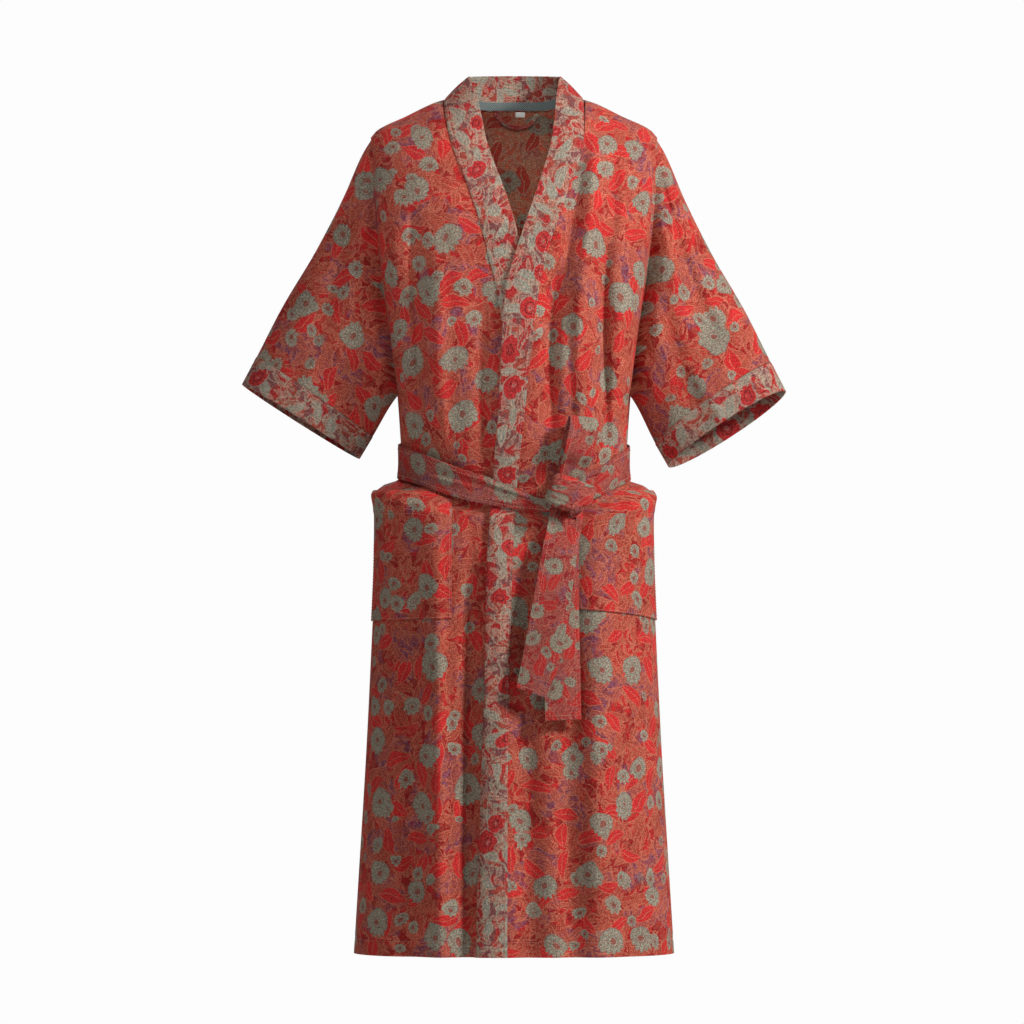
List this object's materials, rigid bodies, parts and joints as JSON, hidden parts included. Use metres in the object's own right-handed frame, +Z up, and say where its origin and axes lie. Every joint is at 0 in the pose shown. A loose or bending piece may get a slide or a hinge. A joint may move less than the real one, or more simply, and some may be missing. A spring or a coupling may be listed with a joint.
{
  "type": "kimono robe",
  "caption": "Calf-length wrap robe in kimono cut, filled out as worn: dropped half sleeves with cuff bands, long neckband, patch pockets and a sash tied in a half bow.",
  "frame": {"origin": "between the two neck points of the shoulder seams, where the wearer's neck and shoulders carry the robe", "axes": "+X to the wearer's left, +Y to the back, +Z up"},
  "size_m": [0.7402, 0.2865, 1.194],
  "materials": {
    "robe_cloth": "brushed printed cotton, soft, matt, red ground with coral leaves and sage flowers",
    "border_cloth": "brushed printed cotton, soft, matt, border print in mauve, sage and red",
    "neck_tape": "woven cotton tape, blue grey",
    "neck_label": "woven white tab, bare"
  },
  "bodies": {
    "root": {"back": "robe_cloth", "front_right": "robe_cloth", "front_left": "robe_cloth", "sleeve_right": "robe_cloth", "sleeve_left": "robe_cloth", "pocket_right": "robe_cloth", "pocket_left": "robe_cloth", "cuff_right": "border_cloth", "cuff_left": "border_cloth", "neckband": "border_cloth", "belt_waist": "robe_cloth", "belt_knot": "robe_cloth", "belt_loop": "robe_cloth", "belt_tail_front": "robe_cloth", "belt_tail_back": "robe_cloth", "hanging_loop": "robe_cloth", "neck_tape": "neck_tape", "neck_label": "neck_label"}
  },
  "joints": []
}
